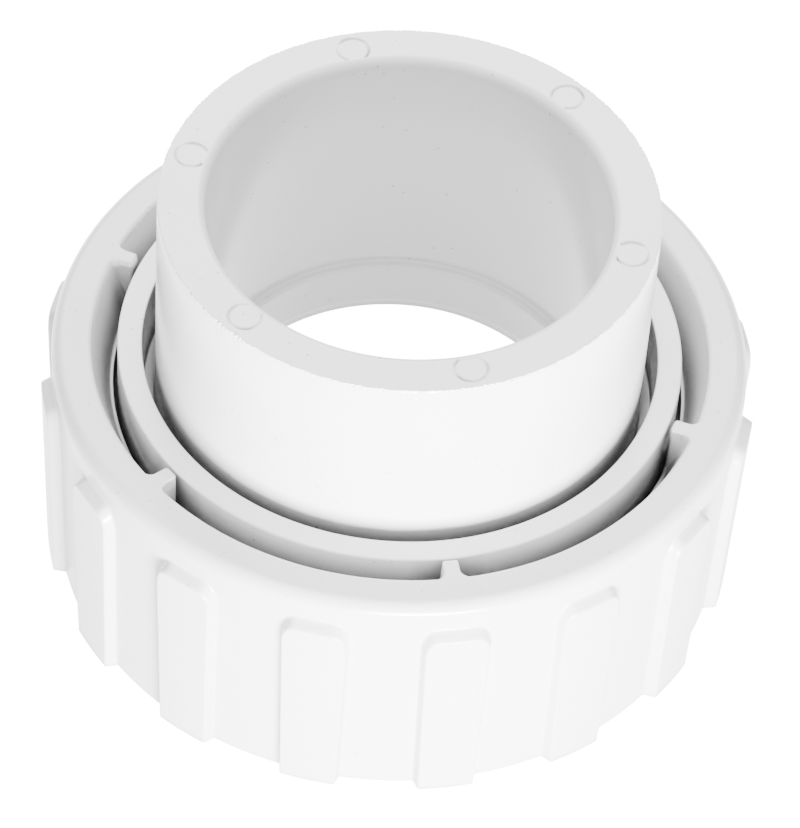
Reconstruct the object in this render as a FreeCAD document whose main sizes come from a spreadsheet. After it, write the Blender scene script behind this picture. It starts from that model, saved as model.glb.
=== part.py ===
import FreeCAD, Part
import math
import os
import re

import Sketcher

# Half of a plastic pipe union for 1-1/2 inch pipe: a tailpiece, the loose coupling nut round it,
# and the O-ring in the tailpiece's sealing face. Millimetres, +Z up along the pipe axis.
# Z = 0 is the open end of the nut; the nut hangs on the tailpiece's flange.

doc = FreeCAD.newDocument("pipe_union")

# ---------------------------------------------------------------- driving dimensions
DIMENSIONS = [
    # tailpiece
    ("tube_outer_r", 30.16, "outside radius of the spigot, 2 inch pipe size"),
    ("tube_top_z", 58.0, "height of the tube's rim"),
    ("socket_mouth_r", 24.45, "socket radius at the rim, 1-1/2 inch pipe size"),
    ("socket_r", 24.17, "socket radius below the entry taper"),
    ("socket_taper_z", 46.0, "height at which the entry taper ends"),
    ("pipe_stop_z", 23.1, "height of the pipe stop ledge"),
    ("bore_top_r", 23.0, "through bore radius just below the pipe stop"),
    ("seal_face_z", 15.7, "height of the flat sealing face"),
    ("bore_end_r", 23.3, "through bore radius at the sealing face"),
    ("collar_outer_r", 34.8, "outside radius of the collar round the tube"),
    ("collar_inner_r", 31.75, "inside radius of the collar"),
    ("collar_top_z", 33.4, "height of the collar's rim"),
    ("collar_gap_floor_z", 24.5, "floor of the gap between tube and collar"),
    ("flange_r", 36.6, "radius of the flange the nut bears on"),
    ("flange_top_z", 22.5, "height of the flange's bearing face"),
    ("mouth_round_r", 1.2, "rounding of the socket mouth"),
    ("collar_round_r", 0.25, "rounding of the collar's rim"),
    ("flange_chamfer", 0.6, "chamfer of the flange's lower edge"),
    ("ejector_mark_r", 1.95, "radius of an ejector pin mark on the rim"),
    ("ejector_mark_depth", 0.06, "depth of an ejector pin mark"),
    ("ejector_circle_r", 27.2, "radius of the circle of ejector pin marks"),
    ("ejector_count", 6, "number of ejector pin marks"),
    # O-ring and its groove
    ("oring_cord_r", 1.765, "radius of the O-ring's cord"),
    ("oring_centre_r", 28.9, "radius of the O-ring's centre line"),
    ("groove_inner_r", 26.8, "inside radius of the O-ring groove"),
    ("groove_outer_r", 31.0, "outside radius of the O-ring groove"),
    ("groove_depth", 2.9, "depth of the O-ring groove"),
    # coupling nut
    ("nut_height", 34.0, "height of the nut"),
    ("shell_bottom_r", 42.2, "outside radius of the shell at the open end"),
    ("shell_top_r", 42.9, "outside radius of the shell under the shoulder"),
    ("shoulder_round_r", 1.7, "rounding of the shoulder"),
    ("lip_inner_r", 38.0, "inside radius of the nut's flat top"),
    ("pocket_mid_r", 36.8, "radius of the pocket wall half way down"),
    ("pocket_mid_z", 31.0, "height of the pocket wall half way down"),
    ("pocket_floor_r", 35.7, "radius of the pocket wall at the pocket's floor"),
    ("throat_r", 35.3, "radius of the throat that slides on the collar"),
    ("pocket_floor_z", 26.6, "height of the pockets' floor"),
    ("nut_seat_z", 22.6, "height of the nut's bearing face"),
    ("thread_crest_r", 37.0, "inside radius of the nut's thread"),
    ("thread_root_r", 38.5, "radius of the thread's root"),
    ("relief_r", 37.7, "radius of the plain stretch above the thread, round the flange"),
    ("relief_z", 14.0, "height at which the plain stretch starts"),
    ("thread_pitch", 4.0, "pitch of the thread"),
    ("thread_start_z", 3.4, "height of the first thread turn"),
    ("thread_turns_height", 8.4, "height over which the thread runs"),
    ("thread_root_width", 1.3, "width of the groove at its root"),
    ("thread_crest_width", 2.6, "width of the groove at the crest"),
    ("lead_in", 1.6, "lead-in chamfer at the open end"),
    ("web_count", 6, "number of webs between the pockets"),
    ("web_angle", 3.4, "angle taken up by one web"),
    ("web_centre_angle", 42.5, "angle of the first web"),
    ("rib_count", 16, "number of grip ribs"),
    ("rib_first_angle", 282.4, "angle of the first rib"),
    ("rib_height", 30.2, "height of a rib's top"),
    ("rib_bottom_r", 43.7, "radius over the ribs at the open end"),
    ("rib_top_r", 44.3, "radius over the ribs at their tops"),
    ("rib_bottom_width", 7.6, "width of a rib at the open end"),
    ("rib_top_width", 8.6, "width of a rib at its top"),
    ("rib_root_r", 41.0, "radius at which a rib is sunk in the shell"),
    ("rib_edge_r", 0.6, "rounding of a rib's outer edges"),
]

sheet = doc.addObject("Spreadsheet::Sheet", "Dimensions")
for row, (alias, value, meaning) in enumerate(DIMENSIONS, start=1):
    sheet.set("A%d" % row, alias)
    sheet.set("B%d" % row, str(value))
    sheet.set("C%d" % row, meaning)
    sheet.setAlias("B%d" % row, alias)
doc.recompute()


def evaluate(expression):
    """Work out an expression in the sheet's aliases, for a sketch's starting shape."""
    cell = "E1"
    sheet.set(cell, "=" + expression)
    doc.recompute()
    value = float(sheet.get(cell))
    sheet.clear(cell)
    return value


def qualified(expression):
    """Prefix each alias with the sheet's name, for use outside the sheet."""
    return re.sub(r"[a-z]+(_[a-z]+)+", lambda word: "Dimensions." + word.group(0), expression)


def origin_plane(body, role):
    for feature in body.Origin.OriginFeatures:
        if feature.Role == role:
            return feature
    raise RuntimeError("no plane " + role)


def new_body(label):
    body = doc.addObject("PartDesign::Body", label)
    body.Label = label
    body.Placement = FreeCAD.Placement()
    return body


def new_sketch(body, name, role):
    sketch = body.newObject("Sketcher::SketchObject", name)
    sketch.AttachmentSupport = (origin_plane(body, role), [""])
    sketch.MapMode = "FlatFace"
    return sketch


def pin_point(sketch, edge, point, across, along, name):
    """Hold one point of a sketch edge at the two given expressions."""
    for kind, expression in (("DistanceX", across), ("DistanceY", along)):
        if expression == "0":
            axis = -2 if kind == "DistanceX" else -1
            sketch.addConstraint(Sketcher.Constraint("PointOnObject", edge, point, axis))
            continue
        value = evaluate(expression)
        index = sketch.addConstraint(Sketcher.Constraint(kind, -1, 1, edge, point, value))
        label = "%s_%s" % (name, "x" if kind == "DistanceX" else "y")
        sketch.renameConstraint(index, label)
        sketch.setExpression("Constraints." + label, qualified(expression))


def polygon_sketch(body, name, role, corners):
    """A closed polygon whose corners are held at (across, along) expressions."""
    sketch = new_sketch(body, name, role)
    points = [FreeCAD.Vector(evaluate(across), evaluate(along), 0) for across, along in corners]
    count = len(corners)
    for index in range(count):
        sketch.addGeometry(Part.LineSegment(points[index], points[(index + 1) % count]), False)
    for index in range(count):
        sketch.addConstraint(Sketcher.Constraint("Coincident", index, 2, (index + 1) % count, 1))
    for index, (across, along) in enumerate(corners):
        pin_point(sketch, index, 1, across, along, "corner%d" % index)
    return sketch


def circle_sketch(body, name, role, across, along, radius):
    """A circle held at its centre and by its radius."""
    sketch = new_sketch(body, name, role)
    centre = FreeCAD.Vector(evaluate(across), evaluate(along), 0)
    circle = Part.Circle(centre, FreeCAD.Vector(0, 0, 1), evaluate(radius))
    sketch.addGeometry(circle, False)
    pin_point(sketch, 0, 3, across, along, "centre")
    index = sketch.addConstraint(Sketcher.Constraint("Radius", 0, evaluate(radius)))
    sketch.renameConstraint(index, "radius")
    sketch.setExpression("Constraints.radius", qualified(radius))
    return sketch


def revolve(body, name, sketch, kind="PartDesign::Revolution", angle="360"):
    feature = body.newObject(kind, name)
    feature.Profile = sketch
    feature.ReferenceAxis = (sketch, ["V_Axis"])
    if angle == "360":
        feature.Angle = 360.0
    else:
        feature.setExpression("Angle", qualified(angle))
    sketch.Visibility = False
    body.Tip = feature
    doc.recompute()
    return feature


def polar_pattern(body, name, feature, count):
    pattern = body.newObject("PartDesign::PolarPattern", name)
    pattern.Originals = [feature]
    pattern.Axis = (origin_axis(body), [""])
    pattern.Angle = 360.0
    pattern.setExpression("Occurrences", qualified(count))
    body.Tip = pattern
    doc.recompute()
    return pattern


def origin_axis(body):
    return origin_plane(body, "Z_Axis")


def circular_edges(body, radius, height, near=0.02):
    """Names of the tip's full circular edges of this radius at this height."""
    names = []
    for number, edge in enumerate(body.Tip.Shape.Edges, start=1):
        curve = edge.Curve
        if not isinstance(curve, Part.Circle):
            continue
        same_radius = abs(curve.Radius - radius) < near
        same_height = abs(curve.Center.z - height) < near
        if same_radius and same_height:
            names.append("Edge%d" % number)
    return names


def dress(body, kind, name, edges, size_property, size):
    """Fillet or chamfer the named edges of the body's tip."""
    if not edges:
        raise RuntimeError("no edges for " + name)
    base = body.Tip
    feature = body.newObject(kind, name)
    feature.Base = (base, edges)
    feature.setExpression(size_property, qualified(size))
    body.Tip = feature
    doc.recompute()
    return feature


# ---------------------------------------------------------------- tailpiece
tailpiece = new_body("tailpiece")

tail_profile = polygon_sketch(tailpiece, "tailpiece_profile", "XZ_Plane", [
    ("bore_end_r", "seal_face_z"),
    ("groove_inner_r", "seal_face_z"),
    ("groove_inner_r", "seal_face_z + groove_depth"),
    ("groove_outer_r", "seal_face_z + groove_depth"),
    ("groove_outer_r", "seal_face_z"),
    ("flange_r - flange_chamfer", "seal_face_z"),
    ("flange_r", "seal_face_z + flange_chamfer"),
    ("flange_r", "flange_top_z"),
    ("collar_outer_r", "flange_top_z"),
    ("collar_outer_r", "collar_top_z"),
    ("collar_inner_r", "collar_top_z"),
    ("collar_inner_r", "collar_gap_floor_z"),
    ("tube_outer_r", "collar_gap_floor_z"),
    ("tube_outer_r", "tube_top_z"),
    ("socket_mouth_r", "tube_top_z"),
    ("socket_r", "socket_taper_z"),
    ("socket_r", "pipe_stop_z"),
    ("bore_top_r", "pipe_stop_z"),
])
revolve(tailpiece, "tailpiece_turned", tail_profile)

mouth = circular_edges(tailpiece, evaluate("socket_mouth_r"), evaluate("tube_top_z"))
dress(tailpiece, "PartDesign::Fillet", "mouth_round", mouth, "Radius", "mouth_round_r")

collar_rim = circular_edges(tailpiece, evaluate("collar_inner_r"), evaluate("collar_top_z"))
collar_rim += circular_edges(tailpiece, evaluate("collar_outer_r"), evaluate("collar_top_z"))
dress(tailpiece, "PartDesign::Fillet", "collar_round", collar_rim, "Radius", "collar_round_r")

mark_sketch = circle_sketch(
    tailpiece, "ejector_mark_circle", "XY_Plane",
    "ejector_circle_r * cos(48 deg)", "ejector_circle_r * sin(48 deg)", "ejector_mark_r")
mark_sketch.AttachmentOffset = FreeCAD.Placement(
    FreeCAD.Vector(0, 0, evaluate("tube_top_z")), FreeCAD.Rotation())
mark_sketch.setExpression("AttachmentOffset.Base.z", qualified("tube_top_z"))
mark = tailpiece.newObject("PartDesign::Pocket", "ejector_mark")
mark.Profile = mark_sketch
mark.setExpression("Length", qualified("ejector_mark_depth"))
tailpiece.Tip = mark
doc.recompute()
polar_pattern(tailpiece, "ejector_marks", mark, "ejector_count")

# ---------------------------------------------------------------- O-ring
o_ring = new_body("o_ring")
cord_sketch = circle_sketch(
    o_ring, "oring_section", "XZ_Plane",
    "oring_centre_r", "seal_face_z + groove_depth - oring_cord_r", "oring_cord_r")
revolve(o_ring, "oring_turned", cord_sketch)

# ---------------------------------------------------------------- coupling nut
nut = new_body("coupling_nut")

nut_profile = polygon_sketch(nut, "nut_profile", "XZ_Plane", [
    ("thread_crest_r + lead_in", "0"),
    ("shell_bottom_r", "0"),
    ("shell_top_r", "nut_height - shoulder_round_r"),
    ("shell_top_r", "nut_height"),
    ("throat_r", "nut_height"),
    ("throat_r", "nut_seat_z"),
    ("relief_r", "nut_seat_z"),
    ("relief_r", "relief_z"),
    ("thread_crest_r", "relief_z"),
    ("thread_crest_r", "lead_in"),
])
revolve(nut, "nut_turned", nut_profile)

shoulder = circular_edges(nut, evaluate("shell_top_r"), evaluate("nut_height"))
dress(nut, "PartDesign::Fillet", "shoulder_round", shoulder, "Radius", "shoulder_round_r")

# one pocket of the ring of scooped pockets round the throat; the webs are what is left between
pocket_sketch = polygon_sketch(nut, "pocket_section", "XZ_Plane", [
    ("throat_r - 1", "pocket_floor_z"),
    ("pocket_floor_r", "pocket_floor_z"),
    ("pocket_mid_r", "pocket_mid_z"),
    ("lip_inner_r", "nut_height"),
    ("lip_inner_r", "nut_height + 1"),
    ("throat_r - 1", "nut_height + 1"),
])
pocket = nut.newObject("PartDesign::Groove", "pocket")
pocket.Profile = pocket_sketch
pocket.ReferenceAxis = (pocket_sketch, ["V_Axis"])
pocket.setExpression("Angle", qualified("360 / web_count - web_angle"))
pocket_turn = FreeCAD.Rotation(FreeCAD.Vector(0, 1, 0), evaluate("web_centre_angle + web_angle / 2"))
pocket_sketch.AttachmentOffset = FreeCAD.Placement(FreeCAD.Vector(), pocket_turn)
pocket_sketch.setExpression(
    "AttachmentOffset.Rotation.Angle", qualified("(web_centre_angle + web_angle / 2) * 1 deg"))
nut.Tip = pocket
doc.recompute()
polar_pattern(nut, "pockets", pocket, "web_count")


def rib_section(name, radius, width, height):
    """Rectangle across one rib, sunk in the shell, at the given height."""
    sketch = polygon_sketch(nut, name, "XY_Plane", [
        ("rib_root_r", "-%s / 2" % width),
        (radius, "-%s / 2" % width),
        (radius, "%s / 2" % width),
        ("rib_root_r", "%s / 2" % width),
    ])
    turn = FreeCAD.Rotation(FreeCAD.Vector(0, 0, 1), evaluate("rib_first_angle"))
    sketch.AttachmentOffset = FreeCAD.Placement(FreeCAD.Vector(0, 0, evaluate(height)), turn)
    if height != "0":
        sketch.setExpression("AttachmentOffset.Base.z", qualified(height))
    sketch.Visibility = False
    return sketch


rib_low = rib_section("rib_foot_section", "rib_bottom_r", "rib_bottom_width", "0")
rib_high = rib_section("rib_top_section", "rib_top_r", "rib_top_width", "rib_height")
rib = nut.newObject("PartDesign::AdditiveLoft", "rib")
rib.Profile = rib_low
rib.Sections = [rib_high]
rib.Ruled = True
nut.Tip = rib
doc.recompute()
polar_pattern(nut, "ribs", rib, "rib_count")

# round the ribs' long outer edges and their tops
rib_edges = []
rib_top = evaluate("rib_height")
rib_reach = evaluate("rib_bottom_r") - 0.1
shell_reach = evaluate("shell_top_r") + 0.2
for number, edge in enumerate(nut.Tip.Shape.Edges, start=1):
    reach = [math.hypot(corner.X, corner.Y) for corner in edge.Vertexes]
    height = [corner.Z for corner in edge.Vertexes]
    across_top = min(height) > rib_top - 0.01 and max(height) < rib_top + 0.01
    along_side = min(height) < 0.01 and max(height) > rib_top - 0.01
    if along_side and min(reach) > rib_reach:
        rib_edges.append("Edge%d" % number)
    elif across_top and max(reach) > shell_reach:
        rib_edges.append("Edge%d" % number)
dress(nut, "PartDesign::Fillet", "rib_rounds", rib_edges, "Radius", "rib_edge_r")

# internal thread: a flat-crested groove along a helix
thread_section = polygon_sketch(nut, "thread_section", "XZ_Plane", [
    ("thread_crest_r - 0.3", "thread_start_z - thread_crest_width / 2 - 0.2"),
    ("thread_root_r", "thread_start_z - thread_root_width / 2"),
    ("thread_root_r", "thread_start_z + thread_root_width / 2"),
    ("thread_crest_r - 0.3", "thread_start_z + thread_crest_width / 2 + 0.2"),
])
thread = nut.newObject("PartDesign::SubtractiveHelix", "thread")
thread.Profile = thread_section
thread.ReferenceAxis = (thread_section, ["V_Axis"])
thread.Mode = "pitch-height-angle"
thread.setExpression("Pitch", qualified("thread_pitch"))
thread.setExpression("Height", qualified("thread_turns_height"))
thread.Angle = 0
nut.Tip = thread
doc.recompute()

# ---------------------------------------------------------------- checks and export
doc.recompute()
for item in doc.Objects:
    if "Invalid" in item.State or "Error" in item.State:
        raise RuntimeError("%s is %s" % (item.Name, item.State))

os.makedirs("parts", exist_ok=True)
for body in (tailpiece, nut, o_ring):
    shape = body.Shape
    if shape.isNull() or not shape.isValid() or len(shape.Solids) != 1:
        raise RuntimeError("%s has no single valid solid" % body.Label)
    shape.exportStep(os.path.join("parts", body.Label + ".step"))
    print(body.Label, round(shape.Volume, 1), [round(v, 2) for v in (
        shape.BoundBox.XMin, shape.BoundBox.XMax, shape.BoundBox.YMin,
        shape.BoundBox.YMax, shape.BoundBox.ZMin, shape.BoundBox.ZMax)])
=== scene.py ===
import math

import bpy
import numpy as np
from mathutils import Matrix, Vector


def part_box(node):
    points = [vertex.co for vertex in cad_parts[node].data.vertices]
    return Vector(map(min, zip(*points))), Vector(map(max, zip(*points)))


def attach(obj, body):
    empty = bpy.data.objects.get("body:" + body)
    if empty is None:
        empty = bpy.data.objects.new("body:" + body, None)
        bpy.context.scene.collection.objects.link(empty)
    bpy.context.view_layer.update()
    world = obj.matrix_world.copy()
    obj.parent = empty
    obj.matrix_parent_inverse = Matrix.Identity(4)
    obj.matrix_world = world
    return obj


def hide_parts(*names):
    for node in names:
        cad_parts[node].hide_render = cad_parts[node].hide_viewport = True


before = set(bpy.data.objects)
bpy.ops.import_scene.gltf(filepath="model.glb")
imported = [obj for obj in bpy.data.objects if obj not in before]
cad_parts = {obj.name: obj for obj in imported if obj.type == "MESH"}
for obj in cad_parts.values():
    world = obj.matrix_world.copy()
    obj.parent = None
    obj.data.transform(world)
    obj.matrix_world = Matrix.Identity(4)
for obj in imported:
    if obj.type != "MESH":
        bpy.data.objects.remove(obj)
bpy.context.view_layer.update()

MM = 0.001
TURN = 2 * math.pi
FINE_STEP = 0.0028              # mesh steps round the axis where there is detail, in radians

# ---------------------------------------------------------------- sizes, in millimetres
tail_low, tail_high = (np.array(corner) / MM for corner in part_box("tailpiece"))
nut_low, nut_high = (np.array(corner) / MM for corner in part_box("coupling_nut"))

RIM_Z = tail_high[2]            # the tube's rim
SEAL_Z = tail_low[2]            # the tailpiece's sealing face
FLANGE_R = tail_high[0]         # the flange inside the nut
NUT_BASE_Z = nut_low[2]         # the nut's open end
NUT_TOP_Z = nut_high[2]         # the nut's flat top

TUBE_R = 30.16
SOCKET_MOUTH_R = 24.45
MOUTH_ROUND = 1.2
SOCKET_R = 24.17
SOCKET_TAPER_Z = RIM_Z - 12.0
PIPE_STOP_Z = RIM_Z - 34.9
BORE_TOP_R = 23.0
BORE_END_R = 23.3
COLLAR_OUTER_R = 34.8
COLLAR_INNER_R = 31.75
COLLAR_TOP_Z = RIM_Z - 24.6
GAP_FLOOR_Z = RIM_Z - 33.5
FLANGE_TOP_Z = RIM_Z - 35.5
GROOVE_INNER_R = 26.8
GROOVE_OUTER_R = 31.0
GROOVE_DEPTH = 2.9
CORD_R = 1.765
CORD_CENTRE_R = 28.9

SHELL_BOTTOM_R = 42.2
SHELL_TOP_R = 42.9
SHOULDER_ROUND = 1.7
LIP_INNER_R = 38.0
THROAT_R = 35.3
LIP_ROUND = 0.6
POCKET_FLOOR_R = 35.7
POCKET_FLOOR_Z = NUT_TOP_Z - 7.4
POCKET_BEND_R = 36.9            # steers the pocket's scooped wall
POCKET_BEND_Z = NUT_TOP_Z - 4.0
SEAT_Z = NUT_TOP_Z - 11.4
RELIEF_R = 37.7
RELIEF_Z = 14.0
CREST_R = 37.0
ROOT_R = 38.5
PITCH = 4.0
THREAD_FIRST_Z = 3.4
THREAD_LAST_Z = 11.8
LEAD_IN = 1.6

RIB_COUNT = 16
RIB_FIRST = math.radians(282.4)
RIB_TOP_Z = NUT_TOP_Z - 3.8
RIB_RISE_BOTTOM = 1.5
RIB_RISE_TOP = 1.4
RIB_WIDTH_BOTTOM = 7.6
RIB_WIDTH_TOP = 8.6
RIB_CORNER = 2.0
RIB_SIDE_RUN = 0.55             # how wide a rib's sloped side is
RIB_TOP_RUN = 1.0               # and its sloped top
WEB_COUNT = 6
WEB_FIRST = math.radians(42.5)
WEB_WIDTH = 2.1
WEB_END_ROUND = 0.5             # at the throat
EJECTOR_COUNT = 6
EJECTOR_FIRST = math.radians(48)
EJECTOR_CIRCLE_R = 27.2
EJECTOR_R = 1.95
EJECTOR_DEPTH = 0.06
OUTLINE_DEPTH = 0.45            # the ragged groove round an ejector mark
OUTLINE_WIDTH = 0.11
OUTLINE_WANDER = 0.05
RIM_NICK_DEPTH = 0.16
RIM_NICK_REACH = 0.15
COLLAR_NICK_DEPTH = 0.18
COLLAR_NICK_REACH = 0.3


# ---------------------------------------------------------------- mesh helpers
def smooth(low, high, value):
    """0 below low, 1 above high, eased between."""
    part = np.clip((value - low) / (high - low), 0, 1)
    return part * part * (3 - 2 * part)


def line(start, end, count):
    """Points from start up to, but without, end."""
    part = np.linspace(0, 1, count, endpoint=False)[:, None]
    return np.array(start) * (1 - part) + np.array(end) * part


def arc(centre, radius, first, last, count):
    """Points on an arc, in degrees, with both ends."""
    angle = np.radians(np.linspace(first, last, count))
    return np.stack([centre[0] + radius * np.cos(angle), centre[1] + radius * np.sin(angle)], 1)


def angles_dense_near(centres, reach, fine, coarse):
    """Angles round the circle, closer together within reach of each centre."""
    probe = np.linspace(0, TURN, 36001)
    gap = np.full(probe.shape, coarse)
    for centre in centres:
        away = np.abs((probe - centre + math.pi) % TURN - math.pi)
        near = 1 - smooth(reach * 0.75, reach * 1.5, away)
        gap = np.minimum(gap, coarse + (fine - coarse) * near)
    count = np.concatenate([[0], np.cumsum((probe[1] - probe[0]) / gap[:-1])])
    total = int(round(count[-1]))
    return np.interp(np.linspace(0, count[-1], total, endpoint=False), count, probe)


def nearest(angle, first, count):
    """Signed angle to the nearest of count equal steps from first."""
    step = TURN / count
    return (angle - first + step / 2) % step - step / 2


def wobble(angle, seed, waves):
    """A repeatable wavy line round the circle, about -1 to 1."""
    draw = np.random.default_rng(seed)
    total = np.zeros_like(angle)
    for wave in waves:
        total += draw.normal() * np.sin(wave * angle + draw.uniform(0, TURN))
    return total / math.sqrt(len(waves))


def grid_mesh(name, radius, height, angle):
    """Closed ring surface from rows x columns of radius and height, in millimetres."""
    rows, columns = radius.shape
    x = radius * np.cos(angle) * MM
    y = radius * np.sin(angle) * MM
    points = np.stack([x, y, height * MM], -1).reshape(-1, 3)
    row = np.arange(rows)[:, None]
    column = np.arange(columns)[None, :]
    next_row = (row + 1) % rows
    next_column = (column + 1) % columns
    faces = np.stack([
        row * columns + column,
        next_row * columns + column,
        next_row * columns + next_column,
        row * columns + next_column,
    ], -1).reshape(-1, 4)
    mesh = bpy.data.meshes.new(name)
    mesh.vertices.add(len(points))
    mesh.vertices.foreach_set("co", points.ravel())
    mesh.loops.add(faces.size)
    mesh.loops.foreach_set("vertex_index", faces.ravel().astype(np.int32))
    mesh.polygons.add(len(faces))
    mesh.polygons.foreach_set("loop_start", np.arange(len(faces), dtype=np.int32) * 4)
    mesh.polygons.foreach_set("use_smooth", np.ones(len(faces), dtype=bool))
    mesh.update(calc_edges=True)
    mesh.validate()
    thing = bpy.data.objects.new(name, mesh)
    bpy.context.collection.objects.link(thing)
    return thing


def profile_grid(profile, angle):
    """Rows x columns of radius and height for a plain turned profile."""
    radius = np.repeat(profile[:, :1], len(angle), 1)
    height = np.repeat(profile[:, 1:], len(angle), 1)
    return radius, height


# ---------------------------------------------------------------- tailpiece
def build_tailpiece():
    edge = 0.25
    tiny = 0.12
    stop_round = 0.25
    chamfer = 0.6
    profile = np.concatenate([
        line((BORE_END_R, SEAL_Z), (GROOVE_INNER_R, SEAL_Z), 4),
        line((GROOVE_INNER_R, SEAL_Z), (GROOVE_INNER_R, SEAL_Z + GROOVE_DEPTH), 3),
        line((GROOVE_INNER_R, SEAL_Z + GROOVE_DEPTH), (GROOVE_OUTER_R, SEAL_Z + GROOVE_DEPTH), 3),
        line((GROOVE_OUTER_R, SEAL_Z + GROOVE_DEPTH), (GROOVE_OUTER_R, SEAL_Z), 3),
        line((GROOVE_OUTER_R, SEAL_Z), (FLANGE_R - chamfer, SEAL_Z), 4),
        line((FLANGE_R - chamfer, SEAL_Z), (FLANGE_R, SEAL_Z + chamfer), 2),
        line((FLANGE_R, SEAL_Z + chamfer), (FLANGE_R, FLANGE_TOP_Z), 4),
        line((FLANGE_R, FLANGE_TOP_Z), (COLLAR_OUTER_R, FLANGE_TOP_Z), 3),
        line((COLLAR_OUTER_R, FLANGE_TOP_Z), (COLLAR_OUTER_R, COLLAR_TOP_Z - edge), 6),
        arc((COLLAR_OUTER_R - edge, COLLAR_TOP_Z - edge), edge, 0, 90, 6),
        line((COLLAR_OUTER_R - 2 * edge, COLLAR_TOP_Z), (COLLAR_INNER_R + edge, COLLAR_TOP_Z), 5),
        arc((COLLAR_INNER_R + edge, COLLAR_TOP_Z - edge), edge, 90, 180, 6),
        line((COLLAR_INNER_R, COLLAR_TOP_Z - 2 * edge), (COLLAR_INNER_R, GAP_FLOOR_Z + edge), 4),
        arc((COLLAR_INNER_R - edge, GAP_FLOOR_Z + edge), edge, 0, -90, 5),
        arc((TUBE_R + edge, GAP_FLOOR_Z + edge), edge, -90, -180, 5),
        line((TUBE_R, GAP_FLOOR_Z + 2 * edge), (TUBE_R, RIM_Z - 3 * tiny), 16),
        line((TUBE_R, RIM_Z - 3 * tiny), (TUBE_R, RIM_Z - tiny), 3),
        arc((TUBE_R - tiny, RIM_Z - tiny), tiny, 0, 90, 4),
        line((TUBE_R - 2 * tiny, RIM_Z), (SOCKET_MOUTH_R + MOUTH_ROUND, RIM_Z), 64),
        arc((SOCKET_MOUTH_R + MOUTH_ROUND, RIM_Z - MOUTH_ROUND), MOUTH_ROUND, 90, 179, 14),
        line((SOCKET_MOUTH_R, RIM_Z - 1.4 * MOUTH_ROUND), (SOCKET_R, SOCKET_TAPER_Z), 5),
        line((SOCKET_R, SOCKET_TAPER_Z), (SOCKET_R, PIPE_STOP_Z + stop_round), 8),
        arc((SOCKET_R - stop_round, PIPE_STOP_Z + stop_round), stop_round, 0, -90, 5),
        line((SOCKET_R - 2 * stop_round, PIPE_STOP_Z), (BORE_TOP_R + stop_round, PIPE_STOP_Z), 2),
        arc((BORE_TOP_R + stop_round, PIPE_STOP_Z - stop_round), stop_round, 90, 180, 5),
        line((BORE_TOP_R, PIPE_STOP_Z - 2 * stop_round), (BORE_END_R, SEAL_Z), 5),
    ])
    marks = [(EJECTOR_FIRST + index * TURN / EJECTOR_COUNT) % TURN for index in range(EJECTOR_COUNT)]
    angle = angles_dense_near(marks, 0.085, FINE_STEP, 0.0075)
    radius, height = profile_grid(profile, angle)
    grid_angle = np.repeat(angle[None, :], len(profile), 0)

    # ejector pin marks on the rim, each in a ragged outline
    on_rim = height > RIM_Z - 1e-6
    sideways = nearest(grid_angle, EJECTOR_FIRST, EJECTOR_COUNT)
    across = radius * np.sin(sideways)
    outward = radius * np.cos(sideways) - EJECTOR_CIRCLE_R
    away = np.hypot(across, outward)
    height = height - on_rim * EJECTOR_DEPTH * (1 - smooth(EJECTOR_R - 0.12, EJECTOR_R + 0.08, away))
    which_mark = np.round((grid_angle - EJECTOR_FIRST) * EJECTOR_COUNT / TURN)
    shift_per_mark = 1.7
    round_mark = np.arctan2(across, outward) + shift_per_mark * which_mark
    ragged = np.clip(0.55 + 0.45 * wobble(round_mark, 5, [1, 2, 3, 5]), 0, 1)
    wander = OUTLINE_WANDER * wobble(round_mark, 7, [2, 5, 9, 14])
    outline = np.exp(-(((away - EJECTOR_R - wander) / OUTLINE_WIDTH) ** 2))
    height = height - on_rim * OUTLINE_DEPTH * ragged * outline

    # a ragged line of nicks on the rim's outer edge
    rough = wobble(grid_angle, 11, [37, 61, 97, 143, 211, 283, 347])
    nicks = np.clip(rough + 0.3, 0, 1.5) * RIM_NICK_DEPTH
    off_edge_r = (radius - TUBE_R) / RIM_NICK_REACH
    off_edge_z = (height - RIM_Z + tiny) / RIM_NICK_REACH
    at_edge = np.exp(-(off_edge_r**2 + off_edge_z**2))
    radius = radius - nicks * at_edge

    # small nicks on the collar's inner edge
    nick = np.clip(wobble(grid_angle, 23, [19, 43, 71, 113, 167]) - 1.2, 0, 1) * COLLAR_NICK_DEPTH
    off_nick_r = (radius - COLLAR_INNER_R) / COLLAR_NICK_REACH
    off_nick_z = (height - COLLAR_TOP_Z) / COLLAR_NICK_REACH
    at_nick = np.exp(-(off_nick_r**2 + off_nick_z**2))
    height = height - nick * at_nick
    return grid_mesh("tailpiece_moulding", radius, height, grid_angle)


# ---------------------------------------------------------------- O-ring
def build_o_ring():
    centre_z = SEAL_Z + GROOVE_DEPTH - CORD_R
    profile = arc((CORD_CENTRE_R, centre_z), CORD_R, 0, 345, 24)
    angle = np.linspace(0, TURN, 180, endpoint=False)
    radius, height = profile_grid(profile, angle)
    return grid_mesh("o_ring_seal", radius, height, np.repeat(angle[None, :], len(profile), 0))


# ---------------------------------------------------------------- coupling nut
def shell_radius(height):
    part = (height - NUT_BASE_Z) / (NUT_TOP_Z - SHOULDER_ROUND - NUT_BASE_Z)
    return SHELL_BOTTOM_R + (SHELL_TOP_R - SHELL_BOTTOM_R) * np.clip(part, 0, 1)


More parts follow.
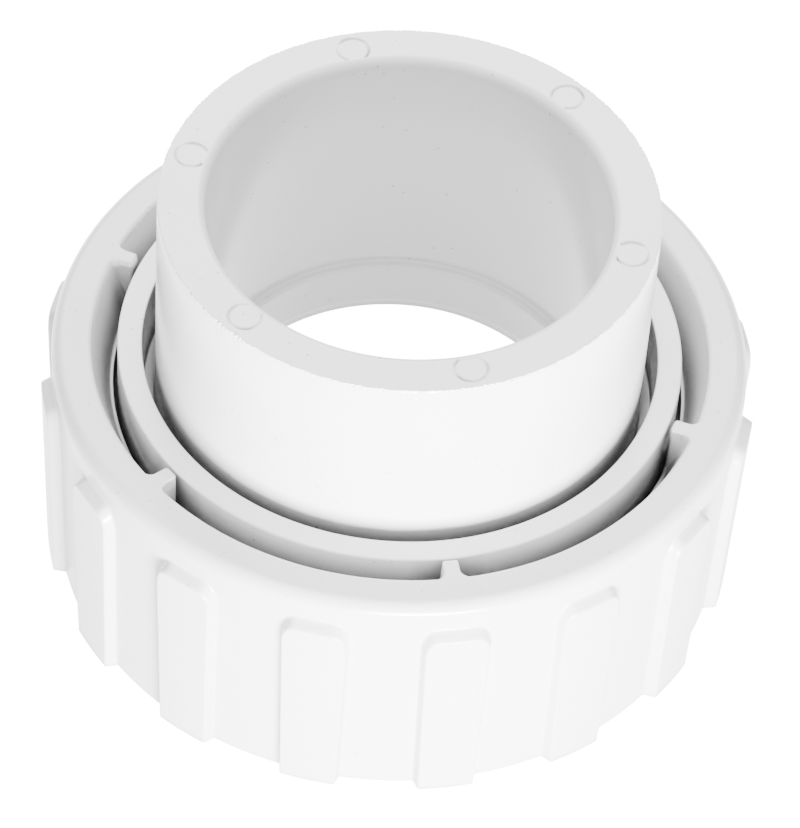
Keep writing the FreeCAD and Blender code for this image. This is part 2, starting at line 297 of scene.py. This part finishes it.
def rib_rise(angle, height):
    """How far the ribs stand out of the shell, with sloped sides a little eased at both ends."""
    part = np.clip((height - NUT_BASE_Z) / (RIB_TOP_Z - NUT_BASE_Z), 0, 1)
    half = (RIB_WIDTH_BOTTOM + (RIB_WIDTH_TOP - RIB_WIDTH_BOTTOM) * part) / 2
    rise = RIB_RISE_BOTTOM + (RIB_RISE_TOP - RIB_RISE_BOTTOM) * part
    across = np.abs(nearest(angle, RIB_FIRST, RIB_COUNT)) * shell_radius(height)
    from_side = across - half + RIB_CORNER
    from_top = (height - RIB_TOP_Z) * RIB_SIDE_RUN / RIB_TOP_RUN + RIB_CORNER
    outside = np.hypot(np.maximum(from_side, 0), np.maximum(from_top, 0))
    inside = np.minimum(np.maximum(from_side, from_top), 0)
    depth = RIB_CORNER - outside - inside
    ramp = np.clip(depth / RIB_SIDE_RUN, 0, 1)
    eased = 0.6
    return rise * ((1 - eased) * ramp + eased * smooth(0, 1, ramp))


def web_share(angle, radius):
    """1 on a web, 0 in a pocket, with a small fillet at the web's foot."""
    across = radius * np.abs(np.sin(nearest(angle, WEB_FIRST, WEB_COUNT)))
    flare = np.clip((radius - LIP_INNER_R + 1.2) / 1.6, 0, 1) ** 3
    pinch = 0.4 * np.clip((THROAT_R + WEB_END_ROUND - radius) / WEB_END_ROUND, 0, 1) ** 2
    beyond = across - (WEB_WIDTH / 2 + flare - pinch)
    side = 0.14
    foot_reach = 1.5
    foot_share = 0.14
    wall = (1 - foot_share) * (1 - smooth(-side, side, beyond))
    return wall + foot_share * (1 - smooth(-side, foot_reach, beyond))


def thread_depth(angle, height):
    """Depth of the thread's groove below its crest."""
    along = (height - THREAD_FIRST_Z) / PITCH - angle / TURN
    from_groove = np.abs((along + 0.5) % 1 - 0.5) * PITCH
    floor_half = 0.6
    mouth_half = 1.35
    groove = 1 - smooth(floor_half, mouth_half, from_groove)
    fade = 2.2
    turn_in = smooth(THREAD_FIRST_Z - fade, THREAD_FIRST_Z - floor_half, height)
    turn_out = 1 - smooth(THREAD_LAST_Z + floor_half, THREAD_LAST_Z + fade, height)
    return (ROOT_R - CREST_R) * groove * turn_in * turn_out


def pocket_curve(count):
    """The pocket's floor, then its scooped wall up to the rounded lip."""
    part = np.linspace(0, 1, count)[:, None]
    low = np.array((POCKET_FLOOR_R, POCKET_FLOOR_Z))
    bend = np.array((POCKET_BEND_R, POCKET_BEND_Z))
    high = np.array((LIP_INNER_R, NUT_TOP_Z - LIP_ROUND))
    wall = low * (1 - part) ** 2 + 2 * bend * part * (1 - part) + high * part**2
    floor = line((THROAT_R, POCKET_FLOOR_Z), (POCKET_FLOOR_R, POCKET_FLOOR_Z), 4)
    lip = arc((LIP_INNER_R + LIP_ROUND, NUT_TOP_Z - LIP_ROUND), LIP_ROUND, 165, 90, 6)
    return np.concatenate([floor, wall, lip])


def web_height(radius):
    """Height of a web's top: level with the nut's top, rounded off at the end by the throat."""
    into_end = np.clip((THROAT_R + WEB_END_ROUND - radius) / WEB_END_ROUND, 0, 1)
    return NUT_TOP_Z - WEB_END_ROUND * (1 - np.sqrt(1 - into_end**2))


def build_nut():
    rib_edges = []
    for index in range(RIB_COUNT):
        centre = RIB_FIRST + index * TURN / RIB_COUNT
        half = (RIB_WIDTH_BOTTOM + RIB_WIDTH_TOP) / 4 / SHELL_TOP_R
        rib_edges += [(centre - half) % TURN, (centre + half) % TURN]
    web_edges = []
    for index in range(WEB_COUNT):
        centre = WEB_FIRST + index * TURN / WEB_COUNT
        half = WEB_WIDTH / 2 / LIP_INNER_R
        web_edges += [(centre - half) % TURN, (centre + half) % TURN]
    angle = angles_dense_near(rib_edges + web_edges, 0.025, FINE_STEP, 0.0125)

    foot = 0.5
    shoulder_z = NUT_TOP_Z - SHOULDER_ROUND
    pocket = pocket_curve(22)
    flat_inner_r = LIP_INNER_R + 1.5 * LIP_ROUND
    upper_rib = RIB_TOP_Z - 3.2     # the mesh is finer above this, round the ribs' sloped tops
    sections = {
        "seat": line((RELIEF_R, SEAT_Z), (THROAT_R, SEAT_Z), 3),
        "throat": line((THROAT_R, SEAT_Z), (THROAT_R, POCKET_FLOOR_Z), 4),
        "pocket": pocket,
        "top": line((flat_inner_r, NUT_TOP_Z), (SHELL_TOP_R - SHOULDER_ROUND, NUT_TOP_Z), 5),
        "shoulder": arc((SHELL_TOP_R - SHOULDER_ROUND, shoulder_z), SHOULDER_ROUND, 90, 0, 12),
        "shell_top": line((SHELL_TOP_R, shoulder_z - 0.2), (SHELL_TOP_R, RIB_TOP_Z + 0.4), 5),
        "rib_top": line((SHELL_TOP_R, RIB_TOP_Z + 0.4), (SHELL_TOP_R, upper_rib), 26),
        "shell": line((SHELL_TOP_R, upper_rib), (SHELL_BOTTOM_R, NUT_BASE_Z + foot), 22),
        "foot": arc((SHELL_BOTTOM_R - foot, NUT_BASE_Z + foot), foot, 0, -90, 6),
        "base": line((SHELL_BOTTOM_R - 2 * foot, NUT_BASE_Z), (CREST_R + LEAD_IN, NUT_BASE_Z), 3),
        "lead_in": line((CREST_R + LEAD_IN, NUT_BASE_Z), (CREST_R, NUT_BASE_Z + LEAD_IN), 3),
        "thread": line((CREST_R, NUT_BASE_Z + LEAD_IN), (CREST_R, RELIEF_Z), 44),
        "relief": line((CREST_R, RELIEF_Z), (RELIEF_R, RELIEF_Z), 2),
        "plain": line((RELIEF_R, RELIEF_Z), (RELIEF_R, SEAT_Z), 3),
    }
    start = {}
    used = 0
    for name, points in sections.items():
        start[name] = used
        used += len(points)
    profile = np.concatenate(list(sections.values()))
    radius, height = profile_grid(profile, angle)
    grid_angle = np.repeat(angle[None, :], len(profile), 0)

    # webs between the pockets
    rows = slice(start["pocket"], start["pocket"] + len(pocket))
    share = web_share(grid_angle[rows], radius[rows])
    height[rows] = height[rows] * (1 - share) + web_height(radius[rows]) * share

    # the shell's draft and the ribs
    first, last = start["shell_top"], start["base"]
    outer = np.zeros(len(profile), dtype=bool)
    outer[first:last] = True
    straight = outer.copy()
    straight[start["foot"]:last] = False
    radius[straight] = shell_radius(height[straight])
    rise = rib_rise(grid_angle[outer], height[outer])
    foot_share = smooth(NUT_BASE_Z - 0.05, NUT_BASE_Z + foot, height[outer])
    least_rise = 0.55
    radius[outer] += rise * (least_rise + (1 - least_rise) * foot_share)

    # the thread
    first = start["thread"]
    rows = slice(first, start["relief"])
    radius[rows] += thread_depth(grid_angle[rows], height[rows])
    return grid_mesh("coupling_nut_moulding", radius, height, grid_angle)


# ---------------------------------------------------------------- materials
CREVICE_REACH = 4.0             # how far off a wall the painted crevice shade still darkens a surface, in millimetres
# colour of the darkest painted shade, deep in gaps, crevices and pocket corners
CREVICE_SHADE_COLOUR = (0.08, 0.08, 0.08)
CLOUD_SCALE = 45
SPECK_SCALE = 420
SPECK_COLOUR = (0.45, 0.44, 0.42)
GRAIN_SCALE = 2200
BUMP_HEIGHT = 0.1               # of the grain and the flow lines, in millimetres
PLASTIC_IOR = 1.53


def new_material(name):
    material = bpy.data.materials.new(name)
    material.use_nodes = True
    nodes = material.node_tree.nodes
    nodes.clear()
    output = nodes.new("ShaderNodeOutputMaterial")
    shader = nodes.new("ShaderNodeBsdfPrincipled")
    material.node_tree.links.new(shader.outputs["BSDF"], output.inputs["Surface"])
    return material, shader


def noise_node(material, coords, scale, detail, offset):
    nodes = material.node_tree.nodes
    links = material.node_tree.links
    shift = nodes.new("ShaderNodeMapping")
    shift.inputs["Location"].default_value = offset
    links.new(coords, shift.inputs["Vector"])
    noise = nodes.new("ShaderNodeTexNoise")
    noise.inputs["Scale"].default_value = scale
    noise.inputs["Detail"].default_value = detail
    links.new(shift.outputs["Vector"], noise.inputs["Vector"])
    return noise


def ramp_node(material, source, stops):
    ramp = material.node_tree.nodes.new("ShaderNodeValToRGB")
    elements = ramp.color_ramp.elements
    while len(elements) < len(stops):
        elements.new(0.5)
    for element, (place, colour) in zip(elements, stops):
        element.position = place
        element.color = (*colour, 1.0)
    material.node_tree.links.new(source, ramp.inputs["Fac"])
    return ramp


def mix_colours(material, share, first, second):
    mix = material.node_tree.nodes.new("ShaderNodeMix")
    mix.data_type = "RGBA"
    links = material.node_tree.links
    links.new(share, mix.inputs["Factor"])
    for socket, colour in ((mix.inputs["A"], first), (mix.inputs["B"], second)):
        if isinstance(colour, tuple):
            socket.default_value = (*colour, 1.0)
        else:
            links.new(colour, socket)
    return mix.outputs["Result"]


def plastic(name, light, shade, offset, roughness, flow_strength, open_share):
    """Moulded white plastic: faint clouding, flow lines, dark specks and fine grain, with painted shade
    darkening its crevices (ambient occlusion below open_share darkens the base colour).
    """
    material, shader = new_material(name)
    nodes = material.node_tree.nodes
    links = material.node_tree.links
    coords = nodes.new("ShaderNodeTexCoord").outputs["Object"]

    cloud = noise_node(material, coords, CLOUD_SCALE, 4, offset)
    base = ramp_node(material, cloud.outputs["Fac"], [(0.3, shade), (0.7, light)])

    cells = nodes.new("ShaderNodeTexVoronoi")
    cells.inputs["Scale"].default_value = SPECK_SCALE
    links.new(coords, cells.inputs["Vector"])
    speck = ramp_node(material, cells.outputs["Distance"], [(0.045, (1, 1, 1)), (0.075, (0, 0, 0))])
    speckled = mix_colours(material, speck.outputs["Color"], base.outputs["Color"], SPECK_COLOUR)
    # painted shade: ambient occlusion darkens the base colour in gaps, crevices and pocket corners,
    # standing in for the shade that falls there
    crevice = nodes.new("ShaderNodeAmbientOcclusion")
    crevice.samples = 8
    crevice.inputs["Distance"].default_value = CREVICE_REACH * MM
    crevice_shade = ramp_node(material, crevice.outputs["AO"], [(0.03, CREVICE_SHADE_COLOUR), (open_share, (1, 1, 1))])
    shaded_colour = nodes.new("ShaderNodeMix")
    shaded_colour.data_type = "RGBA"
    shaded_colour.blend_type = "MULTIPLY"
    shaded_colour.inputs["Factor"].default_value = 1.0
    links.new(speckled, shaded_colour.inputs["A"])
    links.new(crevice_shade.outputs["Color"], shaded_colour.inputs["B"])
    links.new(shaded_colour.outputs["Result"], shader.inputs["Base Color"])

    gloss = noise_node(material, coords, 120, 3, offset)
    spread = nodes.new("ShaderNodeMapRange")
    spread.inputs["To Min"].default_value = roughness - 0.05
    spread.inputs["To Max"].default_value = roughness + 0.06
    links.new(gloss.outputs["Fac"], spread.inputs["Value"])
    links.new(spread.outputs["Result"], shader.inputs["Roughness"])

    grain = noise_node(material, coords, GRAIN_SCALE, 3, offset)
    grain_bump = nodes.new("ShaderNodeBump")
    grain_bump.inputs["Strength"].default_value = 0.10
    grain_bump.inputs["Distance"].default_value = BUMP_HEIGHT * MM
    links.new(grain.outputs["Fac"], grain_bump.inputs["Height"])
    flow = nodes.new("ShaderNodeTexWave")
    flow.bands_direction = "Z"
    flow.inputs["Scale"].default_value = 60
    flow.inputs["Distortion"].default_value = 14
    flow.inputs["Detail"].default_value = 3
    links.new(coords, flow.inputs["Vector"])
    flow_bump = nodes.new("ShaderNodeBump")
    flow_bump.inputs["Strength"].default_value = flow_strength
    flow_bump.inputs["Distance"].default_value = BUMP_HEIGHT * MM
    links.new(flow.outputs["Fac"], flow_bump.inputs["Height"])
    links.new(grain_bump.outputs["Normal"], flow_bump.inputs["Normal"])
    links.new(flow_bump.outputs["Normal"], shader.inputs["Normal"])
    shader.inputs["IOR"].default_value = PLASTIC_IOR
    return material


def rubber(name):
    material, shader = new_material(name)
    coords = material.node_tree.nodes.new("ShaderNodeTexCoord").outputs["Object"]
    dust = noise_node(material, coords, 300, 4, (0, 0, 0))
    stops = [(0.35, (0.012, 0.012, 0.013)), (0.75, (0.03, 0.03, 0.032))]
    base = ramp_node(material, dust.outputs["Fac"], stops)
    material.node_tree.links.new(base.outputs["Color"], shader.inputs["Base Color"])
    shader.inputs["Roughness"].default_value = 0.6
    return material


def lit_paper(name, colour, seen, mirrored, cast):
    """White paper lit from below: how bright it looks, looks in a reflection, and lights the object."""
    material, shader = new_material(name)
    nodes = material.node_tree.nodes
    links = material.node_tree.links
    shader.inputs["Base Color"].default_value = (*colour, 1.0)
    shader.inputs["Roughness"].default_value = 0.9
    shader.inputs["Specular IOR Level"].default_value = 0.0
    shader.inputs["Emission Color"].default_value = (1, 1, 1, 1)
    ray = nodes.new("ShaderNodeLightPath")
    to_eye = nodes.new("ShaderNodeMapRange")
    to_eye.inputs["To Min"].default_value = cast
    to_eye.inputs["To Max"].default_value = seen
    links.new(ray.outputs["Is Camera Ray"], to_eye.inputs["Value"])
    in_mirror = nodes.new("ShaderNodeMath")
    in_mirror.operation = "MULTIPLY_ADD"
    in_mirror.inputs[1].default_value = mirrored - cast
    links.new(ray.outputs["Is Glossy Ray"], in_mirror.inputs[0])
    links.new(to_eye.outputs["Result"], in_mirror.inputs[2])
    links.new(in_mirror.outputs["Value"], shader.inputs["Emission Strength"])
    return material


# ---------------------------------------------------------------- the object
tail_plastic = plastic(
    "tailpiece_plastic",
    light=(0.78, 0.78, 0.78),
    shade=(0.76, 0.76, 0.76),
    offset=(0, 0, 0),
    roughness=0.20,
    flow_strength=0.0,
    open_share=0.62,
)
nut_plastic = plastic(
    "nut_plastic",
    light=(0.68, 0.68, 0.68),
    shade=(0.65, 0.65, 0.65),
    offset=(0.3, 0.1, 0.2),
    roughness=0.24,
    flow_strength=0.04,
    open_share=0.42,
)
seal_rubber = rubber("seal_rubber")

tailpiece = build_tailpiece()
tailpiece.data.materials.append(tail_plastic)
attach(tailpiece, "tailpiece")
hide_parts("tailpiece")

o_ring = build_o_ring()
o_ring.data.materials.append(seal_rubber)
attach(o_ring, "tailpiece")
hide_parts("o_ring")

nut = build_nut()
nut.data.materials.append(nut_plastic)
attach(nut, "nut")
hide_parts("coupling_nut")


# ---------------------------------------------------------------- floor, light and camera
FLOOR_HALF = 3.0                # in metres, like the lights' places and sizes
FLOOR_GAP = 0.0002              # keeps the floor clear of the nut
floor_mesh = bpy.data.meshes.new("floor")
floor_corners = [
    (-FLOOR_HALF, -FLOOR_HALF, 0),
    (FLOOR_HALF, -FLOOR_HALF, 0),
    (FLOOR_HALF, FLOOR_HALF, 0),
    (-FLOOR_HALF, FLOOR_HALF, 0),
]
floor_mesh.from_pydata(floor_corners, [], [(0, 1, 2, 3)])
floor = bpy.data.objects.new("floor", floor_mesh)
floor.location.z = NUT_BASE_Z * MM - FLOOR_GAP
bpy.context.collection.objects.link(floor)
floor_white = lit_paper("floor_white", (0.4, 0.4, 0.4), seen=16, mirrored=6, cast=0.5)
floor_mesh.materials.append(floor_white)

# a sky that is dim by the horizon and bright overhead
world = bpy.data.worlds.new("studio")
world.use_nodes = True
world_nodes = world.node_tree.nodes
world_links = world.node_tree.links
sky_height = world_nodes.new("ShaderNodeSeparateXYZ")
sky_glow = world_nodes.new("ShaderNodeMapRange")
sky_glow.inputs["From Min"].default_value = 0.15
sky_glow.inputs["From Max"].default_value = 0.75
sky_glow.inputs["To Min"].default_value = 0.15
sky_glow.inputs["To Max"].default_value = 3.0
sky_direction = world_nodes.new("ShaderNodeTexCoord").outputs["Generated"]
world_links.new(sky_direction, sky_height.inputs["Vector"])
world_links.new(sky_height.outputs["Z"], sky_glow.inputs["Value"])
world_links.new(sky_glow.outputs["Result"], world_nodes["Background"].inputs["Strength"])
world_nodes["Background"].inputs["Color"].default_value = (1, 1, 1, 1)
bpy.context.scene.world = world


def softbox(name, place, aim, size, power):
    light = bpy.data.lights.new(name, "AREA")
    light.shape = "RECTANGLE"
    light.size, light.size_y = size
    light.energy = power
    lamp = bpy.data.objects.new(name, light)
    bpy.context.collection.objects.link(lamp)
    lamp.location = place
    direction = Vector(aim) - Vector(place)
    lamp.rotation_euler = direction.to_track_quat("-Z", "Y").to_euler()
    return lamp


middle = (0, 0, 0.03)
softbox("front_strip", (0.05, -0.25, 0.028), middle, (0.12, 0.05), 5.5)
softbox("back_box", (-0.1, 0.66, 0.66), middle, (0.9, 0.5), 14)

CAMERA_ELEVATION = math.radians(48.05)
CAMERA_ROLL = math.radians(-4.12)
CAMERA_DISTANCE = 536.1         # from the rim's centre, along the line of sight, in millimetres
AIM_LEFT = 1.23                 # how far left of the rim's centre the camera aims
AIM_DOWN = 25.03                # and how far below it
LENS = 195.7

right = Vector((1, 0, 0))
up = Vector((0, math.sin(CAMERA_ELEVATION), math.cos(CAMERA_ELEVATION)))
ahead = Vector((0, math.cos(CAMERA_ELEVATION), -math.sin(CAMERA_ELEVATION)))
picture_right = math.cos(CAMERA_ROLL) * right - math.sin(CAMERA_ROLL) * up
picture_up = math.sin(CAMERA_ROLL) * right + math.cos(CAMERA_ROLL) * up
eye = Vector((0, 0, RIM_Z)) - AIM_LEFT * picture_right - AIM_DOWN * picture_up - CAMERA_DISTANCE * ahead
turn = Matrix((picture_right, picture_up, -ahead)).transposed()
camera_data = bpy.data.cameras.new("camera")
camera_data.lens = LENS
camera = bpy.data.objects.new("camera", camera_data)
camera.matrix_world = Matrix.Translation(eye * MM) @ turn.to_4x4()
bpy.context.collection.objects.link(camera)
bpy.context.scene.camera = camera
